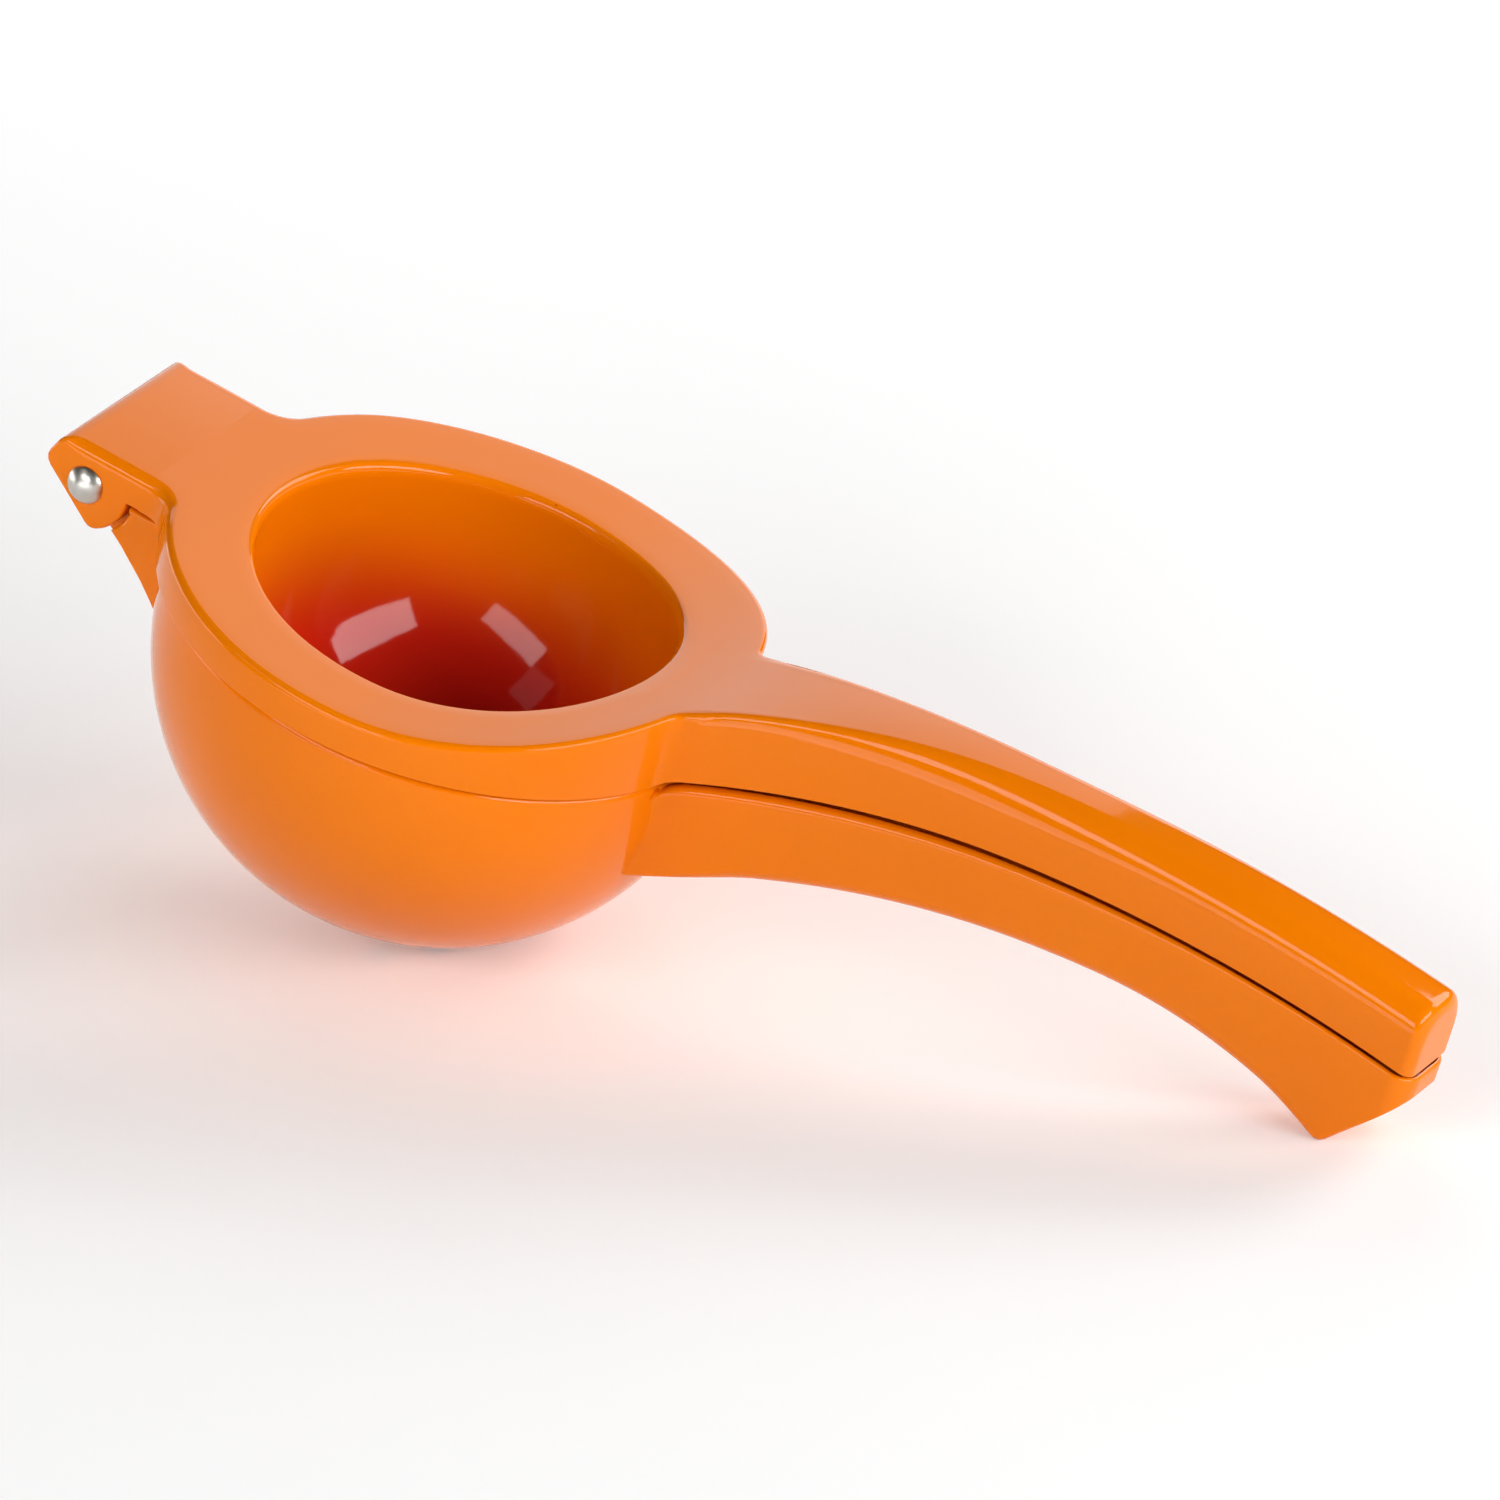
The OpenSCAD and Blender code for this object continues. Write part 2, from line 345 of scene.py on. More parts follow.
def quarter(count: int) -> list[float]:
    """Angles of a quarter turn in equal steps, without its start."""
    return [0.5 * math.pi * k / count for k in range(1, count + 1)]


def grip_outline(hub_x: float, hub_r: float, flare_r: float, corner_r: float, end_x: float) -> list[Vector]:
    """Half outline of a handle seen from above, from its hub to the middle of its end.

    Args:
        hub_x: Where the middle of the ring or cup lies that the handle grows from.
        hub_r: Radius of that ring or cup.
        flare_r: Radius of the handle's flare towards it.
        corner_r: Radius of the corners at its end.
        end_x: Where the handle ends.

    Returns:
        Points with y at or above zero, in the order of x.
    """
    fillet_r, fine_from = 3.0, 150.0
    flare_centre = Vector((SIZES.root_x + 58.0, SIZES.grip_half + flare_r))
    hub = Vector((hub_x, 0.0))
    centre = meet(flare_centre, flare_r - fillet_r, hub, hub_r + fillet_r)
    stop = bearing(centre - flare_centre)
    points = arc_points(centre, fillet_r, bearing(centre - hub) - 180.0, stop, 0.45)
    points += arc_points(flare_centre, flare_r, stop, -90.0, 1.6)[1:]
    straight_end = end_x - corner_r
    x = points[-1].x
    while x < straight_end - 1e-6:
        x = min(straight_end, x + (1.6 if x < fine_from else 0.6))
        points.append(Vector((x, SIZES.grip_half)))
    points += arc_points(Vector((straight_end, SIZES.grip_half - corner_r)), corner_r, 90.0, 0.0, 0.25)[1:]
    points += [Vector((end_x, (SIZES.grip_half - corner_r) * (1.0 - j / ROWS))) for j in range(1, ROWS + 1)]
    return points


def grow(bm: BMesh, edges: Sequence[BMEdge], place: Callable[[BMVert], Vector]) -> list[BMEdge]:
    """Extrude a run of edges and put each new vertex in its place.

    Args:
        bm: The mesh being built.
        edges: The run to extrude.
        place: Gives the new place of a vertex that is still where it was copied from.

    Returns:
        The new run of edges.
    """
    old = {v for e in edges for v in e.verts}
    made = bmesh.ops.extrude_edge_only(bm, edges=list(edges))["geom"]
    run = [g for g in made if isinstance(g, BMEdge) and not (set(g.verts) & old)]
    places = {v: place(v) for v in {v for e in run for v in e.verts}}
    for vert, co in places.items():
        vert.co = co
    return run


def absorb(target: BMesh, part: BMesh) -> None:
    """Move a finished part into another mesh and free it.

    Args:
        target: The mesh that takes the part.
        part: The mesh to move.
    """
    mesh = bpy.data.meshes.new("part")
    part.to_mesh(mesh)
    part.free()
    target.from_mesh(mesh)
    bpy.data.meshes.remove(mesh)


def whole(half: BMesh) -> BMesh:
    """Mirror a half on the plane y = 0 into one closed shell and weld it.

    Args:
        half: A shell that is open along y = 0.

    Returns:
        The same mesh, closed, with its faces pointing out.
    """
    bmesh.ops.remove_doubles(half, verts=half.verts, dist=WELD)
    for vert in half.verts:
        if abs(vert.co.y) < 1e-3:
            vert.co.y = 0.0
    bmesh.ops.mirror(half, geom=half.verts[:] + half.edges[:] + half.faces[:], axis="Y", merge_dist=WELD)
    bmesh.ops.remove_doubles(half, verts=half.verts, dist=WELD)
    bmesh.ops.dissolve_degenerate(half, dist=WELD, edges=half.edges)
    bmesh.ops.recalc_face_normals(half, faces=half.faces)
    return half


@dataclass
class Face:
    """One bent face of a lever with the rounded edge round it, as a half at y >= 0.

    The edge follows the face, or the heights that seat gives for the rim points.
    """

    rims: Sequence[Rim]
    level: Callable[[float, float], float]
    up: bool
    split: int
    hole_r: float = 0.0
    segments: int = 6
    seat: Callable[[Rim], float] | None = None

    def radius(self, rim: Rim) -> float:
        """Edge radius of this face at a rim point."""
        return rim.over if self.up else rim.under

    def start(self) -> tuple[BMesh, list[BMEdge], list[BMEdge]]:
        """Lay the face as a grid: a fan round the hole, then rows along the handle.

        Returns:
            The mesh, the outer run of edges and the run round the hole.
        """
        bm = bmesh.new()
        layer = bm.verts.layers.int.new(STATION)
        inset = [rim.at + rim.inward * self.radius(rim) for rim in self.rims]
        inset[0].y = inset[-1].y = 0.0
        chain = [bm.verts.new((p.x, p.y, 0.0)) for p in inset[:self.split + 1]]
        lane = [bm.edges.new(pair) for pair in zip(chain, chain[1:])]
        hole: list[BMEdge] = []
        if self.hole_r:
            foot = inset[self.split]
            across = [bm.verts.new((foot.x, foot.y * (1.0 - j / ROWS), 0.0)) for j in range(1, ROWS + 1)]
            root = [bm.edges.new(pair) for pair in zip([chain[-1]] + across, across)]
            hole, lane = lane + root, root
            for k in range(FAN):
                part = 1.0 / (FAN - k)
                hole = grow(bm, hole,
                            lambda v: v.co.lerp((v.co.xy.normalized() * self.hole_r).to_3d(), part))
        for i, vert in enumerate(chain):
            vert[layer] = i + 1
        last = len(self.rims) - 1 - ROWS
        for i in range(self.split + 1, last + 1):
            ratio = inset[i].y / inset[i - 1].y
            lane = grow(bm, lane, lambda v: Vector((inset[i].x, v.co.y * ratio, 0.0)))
            row = sorted({v for e in lane for v in e.verts}, key=lambda v: -v.co.y)
            for j, vert in enumerate(row):
                vert[layer] = i + 1 + j if j == 0 or i == last else 0
        for vert in bm.verts:
            vert.co.z = self.level(vert.co.x, vert.co.y)
        run = [e for e in bm.edges if all(v[layer] for v in e.verts)
               and abs(e.verts[0][layer] - e.verts[1][layer]) == 1]
        return bm, run, hole

    @staticmethod
    def hollow(bm: BMesh, half: float, floor: Callable[[float, float], float]) -> None:
        """Sink a long hollow into the handle part of the face.

        Args:
            bm: The mesh of the face.
            half: Half of the hollow's width.
            floor: Height of its floor at x, y.
        """
        layer = bm.verts.layers.int[STATION]
        first, last = SIZES.root_x + 2.0 * SIZES.grip_wall, SIZES.grip_end - SIZES.grip_wall
        cuts = (((first, 0, 0), (1, 0, 0)), ((last, 0, 0), (1, 0, 0)), ((0, half, 0), (0, 1, 0)))
        for at, normal in cuts:
            faces = [f for f in bm.faces if f.calc_center_median().x > SIZES.root_x + 2.0
                     and not any(v[layer] for v in f.verts)]
            geom = faces + list({e for f in faces for e in f.edges})
            geom += list({v for f in faces for v in f.verts})
            bmesh.ops.bisect_plane(bm, geom=geom, dist=1e-3, plane_co=at, plane_no=normal)
        sunk = [f for f in bm.faces if first < f.calc_center_median().x < last
                and f.calc_center_median().y < half]
        made = bmesh.ops.extrude_face_region(bm, geom=sunk)["geom"]
        for vert in (g for g in made if isinstance(g, BMVert)):
            vert.co.z = floor(vert.co.x, vert.co.y)
        bmesh.ops.delete(bm, geom=sunk, context="FACES")
        flat = [f for f in bm.faces if all(abs(v.co.y) < 1e-6 for v in f.verts)]
        bmesh.ops.delete(bm, geom=flat, context="FACES")

    def round_edge(self, bm: BMesh, run: list[BMEdge]) -> list[BMEdge]:
        """Roll the edge of the face over to the side of the lever.

        Args:
            bm: The mesh of the face.
            run: Its outer run of edges.

        Returns:
            The run at the end of the rounding.
        """
        layer = bm.verts.layers.int[STATION]
        sign = 1.0 if self.up else -1.0
        for angle in quarter(self.segments):

            def place(vert: BMVert) -> Vector:
                """Roll one point over the edge.

                Args:
                    vert: The point.

                Returns:
                    Its new place.
                """
                rim = self.rims[vert[layer] - 1]
                radius = self.radius(rim)
                point = rim.at + rim.inward * radius * (1.0 - math.sin(angle))
                if vert[layer] in (1, len(self.rims)):
                    point.y = 0.0
                level = self.seat(rim) if self.seat else self.level(point.x, point.y)
                fall = radius + (rim.drop if self.up else 0.0)
                return Vector((point.x, point.y, level - sign * fall * (1.0 - math.cos(angle))))

            run = grow(bm, run, place)
        return run


class Part:
    """One piece of the squeezer that takes a finish."""

    @staticmethod
    def dress(piece: bpy.types.Object, finish: bpy.types.Material) -> None:
        """Give the built piece its finish."""
        piece.data.materials.clear()
        piece.data.materials.append(finish)


@dataclass
class PressLever(Part):
    """Upper casting: pressing bowl with its ring, hinge fork and upper handle."""

    lip: float = 1.3
    lip_drop: float = 2.2
    edge: float = 2.0
    ring_edge: float = 1.2
    grip_edge: float = 4.6
    corner: float = 2.0
    bulge: float = 6.5
    under_edge: float = 0.35
    hollow_half: float = 4.0
    stub_x: float = -50.3
    fork_x: float = -50.0
    arm_fillet: float = 6.0
    bowl_fillet: float = 1.5
    flare: float = 300.0
    ear_r: float = 7.6
    ear_corner: float = 2.0
    ear_slant: float = -37.5
    skin: float = 0.005
    lines: LeverLines = field(default_factory=LeverLines)

    def __post_init__(self) -> None:
        """Draw the side-view lines once."""
        self.top_line = self.lines.top()
        self.under_line = self.lines.parting()

    def rims(self) -> list[Rim]:
        """Half outline from above: stub in the hinge, fillet, ring, fillet and handle.

        Returns:
            The rim points in order.
        """
        half = SIZES.hinge_half - self.skin
        fillet = self.arm_fillet
        reach = SIZES.ring_r + fillet
        hub = Vector((SIZES.ring_x, 0.0))
        centre = hub + Vector((-math.sqrt(reach ** 2 - (half + fillet) ** 2), half + fillet))
        grip = grip_outline(hub.x, SIZES.ring_r, self.flare, self.corner, SIZES.grip_end)
        stub = [Vector((self.stub_x, (half - self.edge) * j / 8.0)) for j in range(8)]
        arm = [Vector((self.stub_x, half)), Vector((0.5 * (self.stub_x + centre.x), half))]
        turn = arc_points(centre, fillet, -90.0, bearing(hub - centre), 0.5)
        ring = arc_points(hub, SIZES.ring_r, bearing(centre - hub), bearing(grip[0] - hub), 1.2)
        points = stub + arm + turn + ring[1:-1] + grip
        ease = len(turn) // 2
        lifts = [SIZES.arm_lift] * (len(stub) + len(arm) + len(turn) - ease)
        lifts += [SIZES.arm_lift * smooth_step(ease - i, 0.0, ease) for i in range(1, ease + 1)]
        lifts += [0.0] * (len(points) - len(lifts))
        normals = inward_normals(points, closed=False)
        rims = []
        end_row = len(points) - ROWS
        for i, (point, normal, lift) in enumerate(zip(points, normals, lifts)):
            if i == len(stub) or point.x > SIZES.grip_end - self.corner:
                normal = Vector((0.0, -1.0))
            over, under = self.edge_at(point.x), self.under_edge
            if i < len(stub):
                over = under = 0.0
            elif i >= end_row:
                over, under = over * (len(points) - 1 - i) / ROWS, 0.0
            rims.append(Rim(point, normal, over, under, lift, self.drop_at(point.x)))
        return rims

    def drop_at(self, x: float) -> float:
        """Longer fall of the side below its top edge, most at the handle's root."""
        start = smooth_step(x, SIZES.root_x - 1.0, SIZES.root_x + 4.0)
        return self.bulge * start * (1.0 - smooth_step(x, SIZES.root_x + 10.0, SIZES.root_x + 90.0))

    @staticmethod
    def split(rims: Sequence[Rim]) -> int:
        """Index of the rim point where the ring ends and the handle starts."""
        return next(i for i, rim in enumerate(rims) if rim.at.x > SIZES.root_x + 1.0)

    def edge_at(self, x: float) -> float:
        """Radius of the top edge, growing towards the handle's end.

        Args:
            x: Place along the lever.

        Returns:
            The radius.
        """
        ring = self.edge + (self.ring_edge - self.edge) * smooth_step(x, self.stub_x + 2.0, -36.0)
        grip = smooth_step(x, SIZES.root_x - 4.0, SIZES.root_x + 71.0)
        return ring + (self.grip_edge - self.ring_edge) * grip

    def top(self, x: float, y: float) -> float:
        """Height of the top, with a slight crown on the handle and a fillet down to its end.

        Args:
            x: Place along the lever.
            y: Place across it.

        Returns:
            The height.
        """
        crown = 0.3 * smooth_step(x, SIZES.root_x, SIZES.root_x + 40.0)
        past = min(self.corner, max(0.0, x - SIZES.grip_end + self.corner))
        fall = self.corner - math.sqrt(self.corner ** 2 - past ** 2)
        return self.top_line(x) - self.skin - fall - crown * min(1.0, abs(y) / SIZES.grip_half) ** 2

    def under(self, x: float, y: float) -> float:
        """Height of the underside, lifted under the hinge arm.

        Args:
            x: Place along the lever.
            y: Place across it.

        Returns:
            The height.
        """
        lift = 0.0
        if x < 0.0:
            away = math.hypot(x - SIZES.ring_x, y)
            lift = SIZES.arm_lift * smooth_step(away, SIZES.ring_r - 0.4, SIZES.ring_r + 0.6)
        return self.under_line(x) + lift

    def build_top(self, shell: BMesh, rims: list[Rim]) -> None:
        """Make the top face, its edge, the side wall and the inside of the bowl.

        Args:
            shell: The mesh that takes the finished half.
            rims: Half outline of the lever.
        """
        face = Face(rims, self.top, True, self.split(rims), SIZES.mouth_r + self.lip)
        bm, run, hole = face.start()
        run = face.round_edge(bm, run)
        layer = bm.verts.layers.int[STATION]

        def foot(vert: BMVert) -> Vector:
            """Drop one point to the foot of the side wall."""
            rim = rims[vert[layer] - 1]
            return Vector((rim.at.x, vert.co.y, self.seat(rim) + rim.under))

        grow(bm, run, foot)
        self.bowl(face, bm, hole, (self.lip, self.lip_drop, 6), SIZES.bowl_rise)
        absorb(shell, bm)

    def seat(self, rim: Rim) -> float:
        """Height of the lower edge at a rim point."""
        return self.under_line(rim.at.x) + rim.lift

    @staticmethod
    def bowl(face: Face, bm: BMesh, run: list[BMEdge], roll: tuple[float, float, int],
             centre: float) -> None:
        """Roll over the edge of a face's hole, and go down a neck and over a half ball to its pole.

        Args:
            face: The face with the hole.
            bm: Its mesh.
            run: The edge loop of the hole.
            roll: Width, depth and steps of the rolled edge.
            centre: Height of the ball's centre.
        """
        width, depth, steps = roll
        radius, rings = face.hole_r - width, 34
        for angle in quarter(steps):

            def turn(vert: BMVert) -> Vector:
                """Roll one point over the edge of the hole.

                Args:
                    vert: The point.

                Returns:
                    Its new place.
                """
                flat = vert.co.xy.normalized() * (radius + width * (1.0 - math.sin(angle)))
                drop = depth * (1.0 - math.cos(angle))
                return Vector((flat.x, flat.y, face.level(flat.x, flat.y) - drop))

            run = grow(bm, run, turn)
        for k in range(rings + 1):
            angle = 0.5 * math.pi * k / rings

            def place(vert: BMVert) -> Vector:
                """Put one point on the next ring of the ball, or on its pole.

                Args:
                    vert: The point.

                Returns:
                    Its new place.
                """
                flat = Vector((0.0, 0.0))
                if k < rings:
                    flat = vert.co.xy.normalized() * radius * math.cos(angle)
                return Vector((flat.x, flat.y, centre - radius * math.sin(angle)))

            run = grow(bm, run, place)

    def build_under(self, shell: BMesh, rims: list[Rim]) -> None:
        """Make the underside, its edge, the handle's hollow and the outside of the bowl.

        Args:
            shell: The mesh that takes the finished half.
            rims: Half outline of the lever.
        """
        fillet = self.bowl_fillet
        face = Face(rims, self.under, False, self.split(rims), SIZES.bowl_r + fillet, 4, self.seat)
        bm, run, hole = face.start()
        layer = bm.verts.layers.int[STATION]
        for vert in bm.verts:
            if vert[layer]:
                vert.co.z = self.under_line(vert.co.x) + rims[vert[layer] - 1].lift
        face.hollow(bm, self.hollow_half, lambda x, y: self.top(x, y) - SIZES.grip_wall)
        face.round_edge(bm, run)
        self.bowl(face, bm, hole, (fillet, fillet, 4), -SIZES.bowl_neck)
        absorb(shell, bm)

    def fork(self) -> BMesh:
        """Make the hinge arm's end with its two ears and the slot between them.

        Returns:
            The closed mesh.
        """
        pen = Pen(self.fork_x, SIZES.arm_top, 180.0, 0.9)
        pen.points = [Vector((x, self.top_line(x))) for x in (self.fork_x, -51.5, -53.0, -55.0)]
        pen.line(9.45).arc(2.6, 65.0).line(2.45).arc(2.2, 77.5).line(10.2)
        slant = math.radians(self.ear_slant)
        ear_r, corner_r = self.ear_r, self.ear_corner
        out = Vector((math.sin(slant), -math.cos(slant)))
        along = Vector((math.cos(slant), math.sin(slant)))
        edge = (pen.points[-1] - PIN).dot(out) - corner_r
        corner = PIN + out * edge + along * math.sqrt((ear_r - corner_r) ** 2 - edge ** 2)
        first, last = bearing(out), bearing(corner - PIN)
        pen.points = [p for p in pen.points if (p - corner).dot(along) < -0.2 or p.y > 0.0]
        pen.points += arc_points(corner, corner_r, first, last, 0.6)
        apex = math.degrees(math.asin((SIZES.arm_lift - SIZES.pin_z) / ear_r))
        pen.points += arc_points(PIN, ear_r, last, apex, 0.9)[1:]
        pen.points += [Vector((-51.5, SIZES.arm_lift)), Vector((self.fork_x, SIZES.arm_lift))]
        points = pen.points[::-1]
        rims = side_view(points, [self.fork_edge(p) for p in points])
        rims[0].inward, rims[-1].inward = Vector((0.0, 1.0)), Vector((0.0, -1.0))
        block = prism(rims, SIZES.hinge_half, (0.0,))
        slot_half = SIZES.tongue_half + SIZES.rim_gap
        box = bmesh.new()
        bmesh.ops.create_cube(box, size=1.0)
        low = Vector((-90.0, -slot_half, -30.0))
        high = Vector((SIZES.pin_x + SIZES.seat_r, slot_half, SIZES.pin_z + 3.9))
        size = high - low
        bmesh.ops.scale(box, verts=box.verts, vec=size)
        bmesh.ops.translate(box, verts=box.verts, vec=(low + high) / 2.0)
        return carve(block, box)

    @staticmethod
    def fork_edge(point: Vector) -> float:
        """Radius of the fork's side edge: soft along the top, crisp round the ears."""
        soft = smooth_step(point.y, 4.5, 7.0) * smooth_step(point.x, -67.0, -63.0)
        return 0.6 + 1.4 * soft

    def build(self) -> bpy.types.Object:
        """Build the whole casting.

        Returns:
            The piece.
        """
        shell = bmesh.new()
        rims = self.rims()
        self.build_top(shell, rims)
        self.build_under(shell, rims)
        shell = whole(shell)
        absorb(shell, self.fork())
        return finish_piece("press_lever_casting", shell, Body.PRESS, Slot.ENAMEL, "press_lever")


def side_view(points: Sequence[Vector], edges: Sequence[float]) -> list[Rim]:
    """Rims of a closed side view, from its points and the radii of their edges."""
    return [Rim(p, n, r, 0.0) for p, n, r in zip(points, inward_normals(points, closed=True), edges)]


def prism(rims: Sequence[Rim], half: float, stops: Sequence[float]) -> BMesh:
    """Closed block of one side view, with rounded edges on both sides.

    Args:
        rims: Closed side view with the radius of the edge at each point.
        half: Half of the width across y.
        stops: Places across y where the block has a ring of points, the last one zero.

    Returns:
        The block as a mesh.
    """
    bm = bmesh.new()
    layer = bm.verts.layers.int.new(STATION)
    verts = []
    for i, rim in enumerate(rims):
        point = rim.at + rim.inward * rim.over
        vert = bm.verts.new((point.x, half, point.y))
        vert[layer] = i
        verts.append(vert)
    run = list(bm.faces.new(verts).edges)
    for angle in quarter(5):

        def place(vert: BMVert) -> Vector:
            """Roll one point over the side edge.

            Args:
                vert: The point.

            Returns:
                Its new place.
            """
            rim = rims[vert[layer]]
            point = rim.at + rim.inward * rim.over * (1.0 - math.sin(angle))
            return Vector((point.x, half - rim.over * (1.0 - math.cos(angle)), point.y))

        run = grow(bm, run, place)
    for stop in stops:
        run = grow(bm, run, lambda v: Vector((v.co.x, stop, v.co.z)))
    return whole(bm)


def lathe(profile: Sequence[Vector], steps: int) -> BMesh:
    """Spin a half profile about the z axis into a closed shell.

    Args:
        profile: Points as radius and height, from pole to pole.
        steps: Number of steps round the axis.

    Returns:
        The shell, with its faces pointing out.
    """
    bm = bmesh.new()
    verts = [bm.verts.new((max(0.0, p.x), 0.0, p.y)) for p in profile]
    edges = [bm.edges.new(pair) for pair in zip(verts, verts[1:])]
    bmesh.ops.spin(bm, geom=verts + edges, cent=(0.0, 0.0, 0.0), axis=(0.0, 0.0, 1.0), dvec=(0.0, 0.0, 0.0),
                   angle=math.tau, steps=steps, use_merge=True, use_duplicate=False)
    bmesh.ops.remove_doubles(bm, verts=bm.verts, dist=WELD)
    bmesh.ops.recalc_face_normals(bm, faces=bm.faces)
    return bm


def to_object(name: str, bm: BMesh) -> bpy.types.Object:
    """Put a mesh into the scene as an object and free it.

    Args:
        name: Name of the object.
        bm: Its mesh.

    Returns:
        The object.
    """
    mesh = bpy.data.meshes.new(name)
    bm.to_mesh(mesh)
    bm.free()
    obj = bpy.data.objects.new(name, mesh)
    bpy.context.scene.collection.objects.link(obj)
    return obj


def carve(block: BMesh, cutter: BMesh) -> BMesh:
    """Take a cutter away from a block.

    Args:
        block: The mesh to cut.
        cutter: The closed mesh to take away.

    Returns:
        The cut mesh.
    """
    bmesh.ops.recalc_face_normals(cutter, faces=cutter.faces)
    kept, gone = to_object("kept", block), to_object("gone", cutter)
    modifier = kept.modifiers.new("carve", "BOOLEAN")
    modifier.operation = "DIFFERENCE"
    modifier.solver = "EXACT"
    modifier.object = gone
    mesh = bpy.data.meshes.new_from_object(kept.evaluated_get(bpy.context.evaluated_depsgraph_get()))
    result = bmesh.new()
    result.from_mesh(mesh)
    for obj in (kept, gone):
        data = obj.data
        bpy.data.objects.remove(obj)
        bpy.data.meshes.remove(data)
    bpy.data.meshes.remove(mesh)
    return result


def finish_piece(name: str, bm: BMesh, body: Body, slot: Slot, node: str) -> bpy.types.Object:
    """Put a finished casting on the table, shade it smooth and tie it to its body.

    Args:
        name: Name of the piece.
        bm: Its mesh in the lever frame, in millimetres.
        body: The body that it rides on.
        slot: Its material slot in the record; not used.
        node: The CAD node that it stands for.

    Returns:
        The piece.
    """
    bmesh.ops.transform(bm, matrix=on_table(), verts=bm.verts)
    for vert in bm.verts:
        vert.co.z = max(0.0, vert.co.z)
    obj = to_object(name, bm)
    obj.data.shade_smooth()
    obj.data.set_sharp_from_angle(angle=SHARP)
    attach(obj, body.value)
    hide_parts(node)
    LOG.info("%s: %d faces", name, len(obj.data.polygons))
    return obj


@dataclass
class CupLever(Part):
    """Lower casting: drain cup with its hinge lug and tongue, and the lower handle with its toe."""

    gap: float = 1.7
    tip_gap: float = 0.8
    root_drop: float = 0.7
    root_bury: float = 0.035
    root_in: float = 2.5
    root_side: float = 4.0
    flare: float = 420.0
    corner: float = 4.0
    dip: float = 3.0
    top_edge: float = 1.6
    tip_edge: float = 0.6
    belly_edge: float = 2.8
    hollow_half: float = 4.0
    drain_d: float = 4.5
    drain_pitch: float = 9.2
    drain_circles: int = 2
    drain_z: float = -46.0
    steps: int = 160
    rim_edge: float = 1.4
    lug_slope: float = -40.0
    lug_x: float = -45.0
    lug_stops: tuple[float, ...] = (13.0, 9.0, 4.5, 0.0)
    eye_r: float = 3.5
    eye_edge: float = 0.5
    bore_r: float = 2.08
    lines: LeverLines = field(default_factory=LeverLines)

    def __post_init__(self) -> None:
        """Draw the side-view lines once."""
        self.seam = self.lines.parting()
        self.belly = self.lines.belly()

    def top_line(self, x: float) -> float:
        """Height of the handle's top, with a gap to the upper handle that closes towards the tip."""
        tip = smooth_step(x, SIZES.root_x, SIZES.toe_x)
        return self.seam(x) - self.gap - (self.tip_gap - self.gap) * tip

    def belly_line(self, x: float) -> float:
        """Height of the handle's underside, lower where it leaves the cup."""
        root = 1.0 - smooth_step(x, SIZES.cup_r - 1.0, SIZES.cup_r + 17.0)
        return self.belly(x) - self.root_drop * root

    def cup(self) -> BMesh:
        """Spin the cup's wall and bore its drain holes.

        Returns:
            The closed mesh.
        """
        skirt, edge = SIZES.cup_skirt, self.rim_edge
        rim = -SIZES.rim_gap
        ball = Vector((0.0, -skirt))
        profile = arc_points(ball, SIZES.cup_r, -90.0, 0.0, 1.6)
        profile += arc_points(Vector((SIZES.cup_r - edge, rim - edge)), edge, 0.0, 90.0, 0.2)
        profile += arc_points(Vector((SIZES.cavity_r + 0.6, rim - 0.6)), 0.6, 90.0, 180.0, 0.2)
        profile += arc_points(ball, SIZES.cavity_r, 0.0, -90.0, 1.6)
        drills = bmesh.new()
        for circle in range(self.drain_circles + 1):
            for i in range(max(1, 6 * circle)):
                angle = math.radians(60.0 * i / max(1, circle))
                away = circle * self.drain_pitch
                at = Vector((away * math.cos(angle), away * math.sin(angle), self.drain_z))
                bmesh.ops.create_cone(drills, cap_ends=True, segments=28, radius1=self.drain_d / 2.0,
                                      radius2=self.drain_d / 2.0, depth=24.0, matrix=Matrix.Translation(at))
        return carve(lathe(profile, self.steps), drills)

    def edge_under(self, x: float) -> float:
        """Radius of the lower edge, smaller at the root, the toe and the tip.

        Args:
            x: Place along the lever.

        Returns:
            The radius.
        """
        root = 1.0 - smooth_step(x, SIZES.cup_r - 1.0, SIZES.cup_r + 16.0)
        toe = smooth_step(x, SIZES.toe_x - 12.0, SIZES.toe_x + 4.0)
        tip = smooth_step(x, SIZES.toe_x + 4.0, SIZES.tip_end - 3.5)
        return self.belly_edge + (0.4 - self.belly_edge) * root + (0.9 - self.belly_edge) * toe - 0.65 * tip

    def edge_over(self, x: float) -> float:
        """Radius of the top edge, smaller towards the tip."""
        tip = smooth_step(x, SIZES.root_x + 10.0, SIZES.toe_x)
        return self.top_edge + (self.tip_edge - self.top_edge) * tip

    def rims(self) -> list[Rim]:
        """Half outline of the lower handle from above, rooted in the cup's wall.

        Returns:
            The rim points in order.
        """
        grip = grip_outline(0.0, SIZES.cup_r - 0.1, self.flare, self.corner, SIZES.tip_end)
        sunk = grip[0] * (1.0 - self.root_in / SIZES.cup_r)
        root = [Vector((sunk.x, (sunk.y - self.root_side) * j / (ROWS - 1))) for j in range(ROWS)]
        points = root + grip
        normals = inward_normals(points, closed=False)
        rims = []
        for i, (point, normal) in enumerate(zip(points, normals)):
            if point.x > SIZES.tip_end - 1e-6:
                normal = Vector((-1.0, 0.0))
            rolled = i >= ROWS
            rims.append(Rim(point, normal, self.edge_over(point.x) if rolled else 0.0,
                            self.edge_under(point.x) if rolled else 0.0))
        return rims

